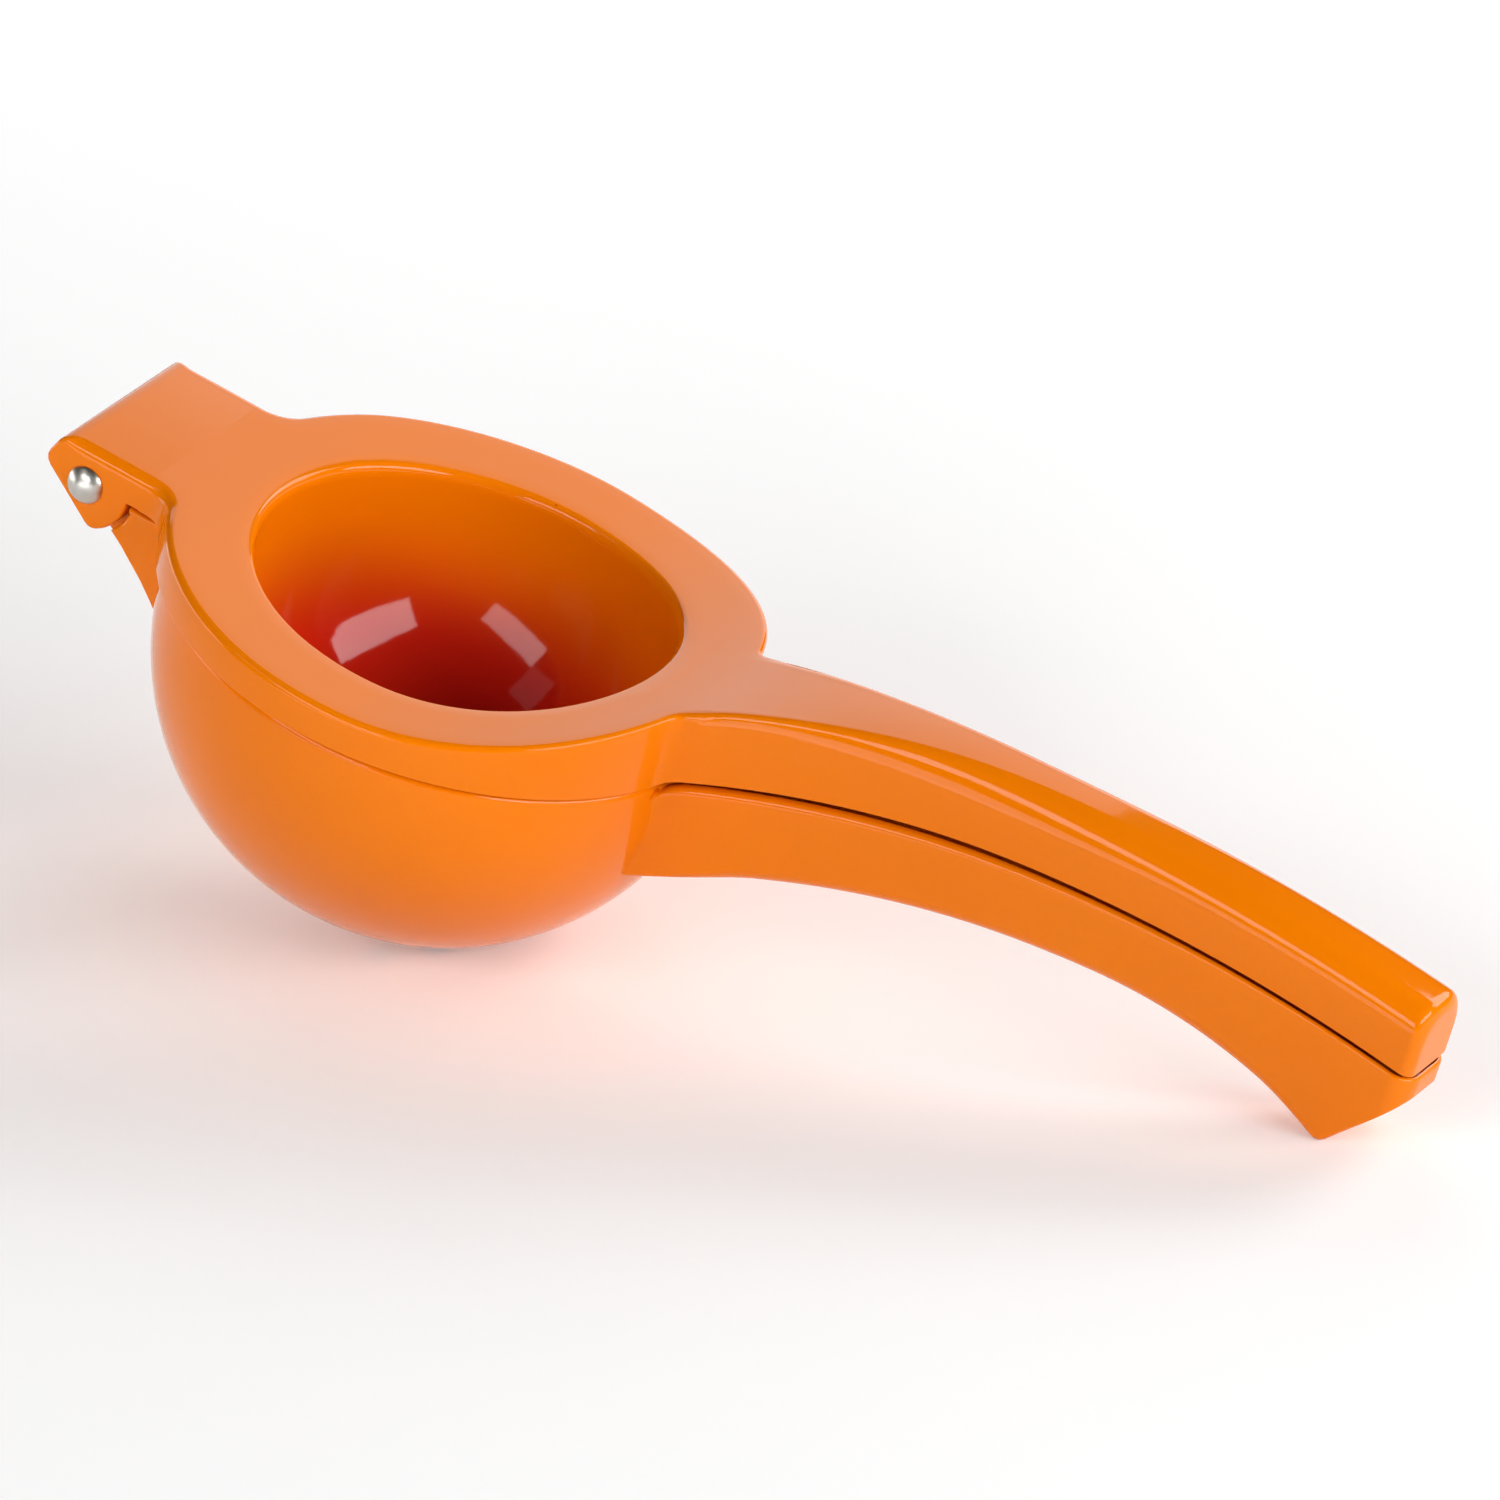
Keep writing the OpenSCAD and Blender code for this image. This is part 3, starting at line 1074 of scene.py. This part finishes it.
    def handle(self) -> BMesh:
        """Build the lower handle with its hollow.

        Returns:
            The closed mesh.
        """
        shell = bmesh.new()
        rims = self.rims()
        face = Face(rims, lambda x, y: self.top_line(x), True, ROWS, segments=5)
        bm, run, _ = face.start()
        layer = bm.verts.layers.int[STATION]
        for vert in (v for v in bm.verts if not v[layer]):
            vert.co.z -= self.dip * smooth_step(vert.co.x, SIZES.root_x - 4.0, SIZES.root_x + 1.0)
        face.hollow(bm, self.hollow_half, lambda x, y: self.belly_line(x) + SIZES.grip_wall)
        run = face.round_edge(bm, run)
        grow(bm, run, lambda v: Vector((v.co.x, v.co.y, self.foot(rims[v[layer] - 1]))))
        absorb(shell, bm)
        face = Face(rims, lambda x, y: self.belly_line(x), False, ROWS)
        bm, run, _ = face.start()
        run = face.round_edge(bm, run)
        layer = bm.verts.layers.int[STATION]
        for vert in {v for e in run for v in e.verts}:
            vert.co.z = self.foot(rims[vert[layer] - 1])
        absorb(shell, bm)
        shell = whole(shell)
        for vert in shell.verts:
            depth = max(0.0, -SIZES.cup_skirt - vert.co.z)
            sunk = 1.0 - math.sqrt(max(0.0, 1.0 - (depth / SIZES.cup_r) ** 2))
            sunk *= 1.0 - smooth_step(vert.co.x, SIZES.cup_r, SIZES.cup_r + 14.0)
            buried = smooth_step(depth, 6.0, 14.0)
            buried *= 1.0 - smooth_step(vert.co.x, SIZES.cavity_r + 1.0, SIZES.cup_r)
            vert.co.xy *= 1.0 - sunk - self.root_bury * buried
        return shell

    def foot(self, rim: Rim) -> float:
        """Height at which the handle's side meets its lower edge."""
        return self.belly_line(rim.at.x) + rim.under

    def lug(self) -> BMesh:
        """Build the lug on the cup with its seat round the ears.

        Returns:
            The closed mesh.
        """
        slope = math.radians(self.lug_slope)
        seat_r, top, end_x = SIZES.seat_r, SIZES.arm_lift - SIZES.rim_gap, self.lug_x
        step_x = SIZES.ring_x - SIZES.ring_r - 0.4
        first = math.degrees(math.asin((top - SIZES.pin_z) / seat_r))
        points = arc_points(PIN, seat_r, self.lug_slope, first, 0.8)
        rim, low = -SIZES.rim_gap - 0.05, PIN.y + math.tan(slope) * (end_x - PIN.x)
        corners = ((-50.2, top), (step_x, top), (step_x, rim), (end_x, rim), (end_x, low))
        points += [Vector(p) for p in corners]
        drawn = points[-1]
        points += [drawn.lerp(points[0], t) for t in (0.25, 0.5, 0.75)]
        edges = [0.2 + 0.95 * smooth_step(bearing(p - PIN), -42.0, -17.0)
                 if (p - PIN).length < seat_r + 0.1 and p.y < top - 0.3 else 0.6 for p in points]
        block = prism(side_view(points, edges), SIZES.hinge_half, self.lug_stops)
        for vert in block.verts:
            slide = -end_x - math.sqrt(end_x ** 2 - vert.co.y ** 2)
            if vert.co.x > end_x - 1.0:
                vert.co.x += slide
                if vert.co.z < -2.0:
                    vert.co.z += math.tan(slope) * slide
            elif vert.co.x > step_x - 1.0 and vert.co.z > -1.5:
                vert.co.x += slide
        return block

    def tongue(self) -> BMesh:
        """Build the tongue between the ears, with the rivet's bore.

        Returns:
            The closed mesh.
        """
        eye_r, slope = self.eye_r, math.radians(self.lug_slope)
        along = Vector((math.cos(slope), math.sin(slope)))
        up = Vector((-along.y, along.x))
        points = arc_points(PIN, eye_r, 50.0, 230.0, 0.7)
        points += [PIN + along * 22.0 - up * eye_r, PIN + along * 18.0 + up * eye_r]
        points.reverse()
        block = prism(side_view(points, [self.eye_edge] * len(points)), SIZES.tongue_half, (0.0,))
        bore = bmesh.new()
        turn = Matrix.Translation((PIN.x, 0.0, PIN.y)) @ Matrix.Rotation(math.pi / 2.0, 4, "X")
        bmesh.ops.create_cone(bore, cap_ends=True, segments=40, radius1=self.bore_r,
                              radius2=self.bore_r, depth=30.0, matrix=turn)
        return carve(block, bore)

    def build(self) -> bpy.types.Object:
        """Build the whole casting.

        Returns:
            The piece.
        """
        shell = self.cup()
        for part in (self.handle(), self.lug(), self.tongue()):
            absorb(shell, part)
        return finish_piece("cup_lever_casting", shell, Body.CUP, Slot.ENAMEL, "cup_lever")


@dataclass
class HingeRivet(Part):
    """Steel rivet across the hinge: domed head on the near side, rolled tail on the far side."""

    shank_r: float = 2.0
    head_r: float = 3.2
    head_h: float = 1.9
    head_edge: float = 0.3
    hollow_r: float = 1.2
    steps: int = 72

    def build(self) -> bpy.types.Object:
        """Spin the rivet about its axis.

        Returns:
            The piece.
        """
        half = SIZES.hinge_half
        dome_h = self.head_h - self.head_edge
        dome_r = (self.head_r ** 2 + dome_h ** 2) / (2.0 * dome_h)
        sweep = math.degrees(math.asin(self.head_r / dome_r))
        centre = Vector((0.0, half + self.head_h - dome_r))
        profile = arc_points(centre, dome_r, 90.0, 90.0 - sweep + 3.0, 0.18)
        profile += arc_points(Vector((self.head_r - 0.16, half + 0.18)), 0.16, 30.0, -90.0, 0.06)
        profile += [Vector((self.shank_r, half + 0.02)), Vector((self.shank_r, -half - 0.02))]
        rolled = Vector((self.head_r - 0.55, -half - 0.55))
        profile += [Vector((self.head_r - 0.12, -half - 0.02))]
        profile += arc_points(rolled, 0.5, 40.0, -90.0, 0.12)
        profile += arc_points(Vector((self.hollow_r + 0.25, -half - 0.8)), 0.25, -90.0, -180.0, 0.1)
        profile += [Vector((self.hollow_r * 0.95, -half - 0.3)), Vector((self.hollow_r * 0.5, -half - 0.1)),
                    Vector((0.0, -half - 0.05))]
        bm = lathe(profile, self.steps)
        place = Matrix.Translation((SIZES.pin_x, 0.0, SIZES.pin_z)) @ Matrix.Rotation(math.pi / 2.0, 4, "X")
        bmesh.ops.transform(bm, matrix=place, verts=bm.verts)
        return finish_piece("hinge_rivet_turned", bm, Body.PRESS, Slot.STEEL, "hinge_rivet")


def maths(tree: bpy.types.NodeTree, kind: str, operation: str, *terms: object) -> bpy.types.Node:
    """Add a math node.

    Args:
        tree: The node tree.
        kind: Math or VectorMath.
        operation: What the node does.
        terms: Sockets and values for its inputs, in order.

    Returns:
        The node.
    """
    node = tree.nodes.new(f"ShaderNode{kind}")
    node.operation = operation
    for socket, term in zip(node.inputs, terms):
        if isinstance(term, bpy.types.NodeSocket):
            tree.links.new(term, socket)
        else:
            socket.default_value = term
    return node


def blend(tree: bpy.types.NodeTree, factor: bpy.types.NodeSocket, first: object,
          second: tuple[float, float, float]) -> bpy.types.NodeSocket:
    """Mix two colours.

    Args:
        tree: The node tree.
        factor: The socket with the share of the second colour.
        first: The first colour, or a socket with it.
        second: The second colour.

    Returns:
        The socket with the mix.
    """
    node = tree.nodes.new("ShaderNodeMix")
    node.data_type = "RGBA"
    tree.links.new(factor, node.inputs["Factor"])
    if isinstance(first, bpy.types.NodeSocket):
        tree.links.new(first, node.inputs[6])
    else:
        node.inputs[6].default_value = (*first, 1.0)
    node.inputs[7].default_value = (*second, 1.0)
    return node.outputs[2]


def new_material(name: str) -> bpy.types.Material:
    """Make a material with a Principled shader.

    Args:
        name: Name of the material.

    Returns:
        The material.
    """
    material = bpy.data.materials.new(name)
    material.use_nodes = True
    return material


def coat(tree: bpy.types.NodeTree, grain: bpy.types.Node, colour: bpy.types.NodeSocket,
         rough: tuple[float, float], relief: tuple[float, float]) -> None:
    """Wire a colour, a roughness that follows the grain's tone and a bump from its ripple.

    Args:
        tree: The material's node tree.
        grain: The grain group in it.
        colour: The socket with the colour.
        rough: Least and most roughness.
        relief: Strength and distance of the bump.
    """
    shader = tree.nodes["Principled BSDF"]
    tree.links.new(colour, shader.inputs["Base Color"])
    spread = tree.nodes.new("ShaderNodeMapRange")
    spread.inputs["To Min"].default_value, spread.inputs["To Max"].default_value = rough
    tree.links.new(grain.outputs["Tone"], spread.inputs["Value"])
    tree.links.new(spread.outputs["Result"], shader.inputs["Roughness"])
    bump = tree.nodes.new("ShaderNodeBump")
    bump.inputs["Strength"].default_value, bump.inputs["Distance"].default_value = relief
    tree.links.new(grain.outputs["Ripple"], bump.inputs["Height"])
    tree.links.new(bump.outputs["Normal"], shader.inputs["Normal"])


class GrainGroup:
    """Shader group shared by all finishes: fine ripple, broad tone and scattered specks."""

    NAME = "surface_grain"
    RARITY = 0.82

    def __init__(self) -> None:
        """Build the group once."""
        self.tree = bpy.data.node_groups.new(self.NAME, "ShaderNodeTree")
        face = self.tree.interface
        for name in ("Ripple Scale", "Tone Scale", "Speck Scale", "Speck Size"):
            face.new_socket(name, in_out="INPUT", socket_type="NodeSocketFloat")
        face.new_socket("Vector", in_out="INPUT", socket_type="NodeSocketVector")
        for name in ("Ripple", "Tone", "Speck"):
            face.new_socket(name, in_out="OUTPUT", socket_type="NodeSocketFloat")
        nodes, links = self.tree.nodes, self.tree.links
        enter, leave = nodes.new("NodeGroupInput"), nodes.new("NodeGroupOutput")
        for kind, detail in (("Ripple", 2.0), ("Tone", 3.0)):
            noise = nodes.new("ShaderNodeTexNoise")
            noise.inputs["Detail"].default_value = detail
            links.new(enter.outputs["Vector"], noise.inputs["Vector"])
            links.new(enter.outputs[f"{kind} Scale"], noise.inputs["Scale"])
            links.new(noise.outputs["Fac"], leave.inputs[kind])
        cells = nodes.new("ShaderNodeTexVoronoi")
        links.new(enter.outputs["Vector"], cells.inputs["Vector"])
        links.new(enter.outputs["Speck Scale"], cells.inputs["Scale"])
        near = maths(self.tree, "Math", "LESS_THAN", cells.outputs["Distance"], enter.outputs["Speck Size"])
        rare = maths(self.tree, "Math", "GREATER_THAN", cells.outputs["Color"], self.RARITY)
        both = maths(self.tree, "Math", "MULTIPLY", near.outputs[0], rare.outputs[0])
        links.new(both.outputs[0], leave.inputs["Speck"])

    def place(self, tree: bpy.types.NodeTree, **values: float) -> bpy.types.Node:
        """Put the group into a material on Object coordinates.

        Args:
            tree: The material's node tree.
            values: Input values, with underscores for spaces.

        Returns:
            The group node.
        """
        node = tree.nodes.new("ShaderNodeGroup")
        node.node_tree = self.tree
        coords = tree.nodes.new("ShaderNodeTexCoord")
        tree.links.new(coords.outputs["Object"], node.inputs["Vector"])
        for name, value in values.items():
            node.inputs[name.replace("_", " ").title()].default_value = value
        return node


@dataclass(frozen=True)
class OrangeEnamel:
    """Glossy baked enamel over cast aluminium, with painted shade inside the pressing bowl."""

    deep: tuple[float, float, float] = (0.78, 0.171, 0.0)
    light: tuple[float, float, float] = (0.84, 0.197, 0.0)
    speck: tuple[float, float, float] = (0.50, 0.085, 0.004)
    # painted shade: darker red laid into the bowl's lower part in place of its shade and red bounce light
    bowl_shade: tuple[float, float, float] = (0.50, 0.014, 0.004)
    bowl_shade_top: float = 2.0
    bowl_shade_floor: float = -21.0
    roughness: float = 0.07
    ior: float = 1.3

    def make(self, grain: GrainGroup) -> bpy.types.Material:
        """Build the material.

        Args:
            grain: The shared grain group.

        Returns:
            The enamel.
        """
        material = new_material("orange_enamel_coat")
        tree = material.node_tree
        tree.nodes["Principled BSDF"].inputs["IOR"].default_value = self.ior
        node = grain.place(tree, ripple_scale=420.0, tone_scale=28.0, speck_scale=170.0, speck_size=0.035)
        tone = blend(tree, node.outputs["Tone"], self.deep, self.light)
        spotted = blend(tree, node.outputs["Speck"], tone, self.speck)
        # blend the painted bowl shade over the enamel, darker towards the bottom of the bowl
        bowl_shaded = blend(tree, self.depth(tree), spotted, self.bowl_shade)
        coat(tree, node, bowl_shaded, (self.roughness - 0.03, self.roughness + 0.04), (0.12, 0.00012))
        return material

    def depth(self, tree: bpy.types.NodeTree) -> bpy.types.NodeSocket:
        """Mask of the painted shade inside the pressing bowl, from 0 at its lip to 1 low down: a darker red
        that stands in for the shade and red bounce light deep in the bowl.

        Args:
            tree: The material's node tree.

        Returns:
            The socket with the mask.
        """
        place = on_table()
        coords = tree.nodes.new("ShaderNodeTexCoord")
        middle = place @ Vector((0.0, 0.0, SIZES.bowl_rise))
        away = maths(tree, "VectorMath", "SUBTRACT", coords.outputs["Object"], middle).outputs["Vector"]
        reach = maths(tree, "VectorMath", "LENGTH", away).outputs["Value"]
        wall = 0.5 * (SIZES.mouth_r + SIZES.bowl_r) * MM
        inside = maths(tree, "Math", "LESS_THAN", reach, wall).outputs[0]
        up = place.to_3x3() @ Vector((0.0, 0.0, 1.0 / MM))
        height = maths(tree, "VectorMath", "DOT_PRODUCT", away, up).outputs["Value"]
        ease = tree.nodes.new("ShaderNodeMapRange")
        ease.interpolation_type = "SMOOTHSTEP"
        ease.inputs["From Min"].default_value = (self.bowl_shade_top - SIZES.bowl_rise) * MM
        ease.inputs["From Max"].default_value = (self.bowl_shade_floor - SIZES.bowl_rise) * MM
        tree.links.new(height, ease.inputs["Value"])
        return maths(tree, "Math", "MULTIPLY", inside, ease.outputs["Result"]).outputs[0]


@dataclass(frozen=True)
class RivetSteel:
    """Satin steel with fine marks of its press."""

    dark: tuple[float, float, float] = (0.50, 0.48, 0.43)
    light: tuple[float, float, float] = (0.66, 0.64, 0.60)
    roughness: float = 0.3

    def make(self, grain: GrainGroup) -> bpy.types.Material:
        """Build the material.

        Args:
            grain: The shared grain group.

        Returns:
            The steel.
        """
        material = new_material("rivet_satin_steel")
        tree = material.node_tree
        tree.nodes["Principled BSDF"].inputs["Metallic"].default_value = 1.0
        node = grain.place(tree, ripple_scale=2600.0, tone_scale=500.0, speck_scale=1400.0, speck_size=0.05)
        tone = blend(tree, node.outputs["Tone"], self.dark, self.light)
        coat(tree, node, tone, (self.roughness - 0.06, self.roughness + 0.1), (0.15, 0.00003))
        return material


AIM = (0.05, 0.0, 0.045)


@dataclass(frozen=True)
class SoftBox:
    """One soft lamp in metres: where it hangs, what it faces, its size and its brightness."""

    name: str
    at: tuple[float, float, float]
    aim: tuple[float, float, float]
    width: float
    height: float
    radiance: float
    lean: float = 0.0


@dataclass
class Studio:
    """Pale floor, soft lamps, dim surround and the camera."""

    azimuth: float = 29.7701557
    elevation: float = 24.0947443
    roll: float = -0.6427724
    distance: float = 3170.31611
    aim_right: float = -46.9718
    aim_down: float = 27.2288
    lens: float = 480.0
    dim: float = 0.04
    glow: float = 0.15
    pale: float = 0.93
    matt: float = 0.9
    floor_half: float = 4.0
    floor_z: float = -0.0002
    boxes: tuple[SoftBox, ...] = (
        SoftBox("lamp_right", (1.29, -0.16, 0.50), AIM, 1.3, 0.42, 10.0),
        SoftBox("lamp_front", (-0.10, -1.20, 0.69), AIM, 0.95, 0.30, 7.2, -25.0),
        SoftBox("lamp_left", (-0.53, -0.76, 1.12), AIM, 0.45, 0.45, 0.8),
        SoftBox("lamp_low", (-1.20, -0.12, 0.15), (0.0, 0.0, 0.045), 1.2, 0.28, 3.5),
        SoftBox("lamp_back", (0.58, 0.92, 0.61), AIM, 0.7, 0.5, 6.0),
        SoftBox("panel_back", (-0.44, 0.60, 0.40), (-0.44, 0.0, 0.40), 0.85, 0.70, 1.7),
        SoftBox("strip_front", (-0.16, -1.12, 0.105), AIM, 0.9, 0.21, 3.0),
        SoftBox("card_floor", (-0.15, -0.75, 0.004), (-0.15, -0.75, 1.0), 0.8, 0.6, 3.0),
    )

    def axes(self) -> tuple[Vector, Vector, Vector]:
        """Right, up and back of the camera.

        Returns:
            Three unit vectors.
        """
        a, e, r = (math.radians(v) for v in (self.azimuth, self.elevation, self.roll))
        back = Vector((math.sin(a) * math.cos(e), -math.cos(a) * math.cos(e), math.sin(e)))
        level = Vector((math.cos(a), math.sin(a), 0.0))
        rise = back.cross(level)
        right = level * math.cos(r) + rise * math.sin(r)
        return right, back.cross(right), back

    def camera(self) -> None:
        """Set up the camera at the photograph's angle."""
        right, up, back = self.axes()
        data = bpy.data.cameras.new("camera")
        data.sensor_width = 36.0
        data.lens = self.lens
        data.clip_end = 50.0
        camera = bpy.data.objects.new("camera", data)
        at = (back * self.distance - right * self.aim_right + up * self.aim_down) * MM
        camera.matrix_world = Matrix.Translation(at) @ Matrix((right, up, back)).transposed().to_4x4()
        bpy.context.scene.collection.objects.link(camera)
        bpy.context.scene.camera = camera

    def lamps(self) -> None:
        """Hang the soft lamps."""
        for box in self.boxes:
            data = bpy.data.lights.new(box.name, "AREA")
            data.shape = "RECTANGLE"
            data.size, data.size_y = box.width, box.height
            data.energy = math.pi * box.width * box.height * box.radiance
            lamp = bpy.data.objects.new(box.name, data)
            turn = (Vector(box.at) - Vector(box.aim)).to_track_quat("Z", "Y").to_matrix().to_4x4()
            lean = Matrix.Rotation(math.radians(box.lean), 4, "Z")
            lamp.matrix_world = Matrix.Translation(box.at) @ turn @ lean
            lamp.visible_camera = False
            bpy.context.scene.collection.objects.link(lamp)

    @staticmethod
    def seen(tree: bpy.types.NodeTree) -> bpy.types.NodeSocket:
        """Mask of the rays that show the background: camera, glossy and transmission rays.

        Args:
            tree: The node tree.

        Returns:
            The socket with the mask.
        """
        path = tree.nodes.new("ShaderNodeLightPath")
        total = path.outputs["Is Camera Ray"]
        for name in ("Is Glossy Ray", "Is Transmission Ray"):
            total = maths(tree, "Math", "MAXIMUM", total, path.outputs[name]).outputs[0]
        return total

    def surround(self) -> None:
        """Make the dim room round the lamps."""
        world = bpy.data.worlds.new("surround")
        bpy.context.scene.world = world
        world.use_nodes = True
        ground = world.node_tree.nodes["Background"]
        ground.inputs["Color"].default_value = (1.0, 1.0, 1.0, 1.0)
        ground.inputs["Strength"].default_value = self.dim

    def floor(self) -> None:
        """Lay the pale floor, which keeps the squeezer's shadow."""
        bm = bmesh.new()
        bmesh.ops.create_grid(bm, x_segments=4, y_segments=4, size=self.floor_half)
        bmesh.ops.translate(bm, verts=bm.verts, vec=(0.0, 0.0, self.floor_z))
        obj = to_object("floor", bm)
        material = new_material("floor_white")
        tree = material.node_tree
        shader = tree.nodes["Principled BSDF"]
        pale, white = (self.pale, self.pale, self.pale, 1.0), (1.0, 1.0, 1.0, 1.0)
        for name, value in (("Base Color", pale), ("Roughness", self.matt), ("Specular IOR Level", 0.0),
                            ("Emission Color", white)):
            shader.inputs[name].default_value = value
        glow = maths(tree, "Math", "MULTIPLY", self.seen(tree), self.glow)
        tree.links.new(glow.outputs[0], shader.inputs["Emission Strength"])
        obj.data.materials.append(material)

    def build(self) -> None:
        """Set up everything round the squeezer."""
        bpy.context.scene.view_settings.view_transform = "Standard"
        self.camera()
        self.lamps()
        self.surround()
        self.floor()


def main() -> None:
    """Build the squeezer, dress it and set up the studio."""
    logging.basicConfig(level=logging.INFO, format="%(name)s: %(message)s")
    Studio().build()
    grain = GrainGroup()
    enamel, steel = OrangeEnamel().make(grain), RivetSteel().make(grain)
    for part, finish in ((CupLever(), enamel), (PressLever(), enamel), (HingeRivet(), steel)):
        part.dress(part.build(), finish)


if __name__ == "__main__":
    main()
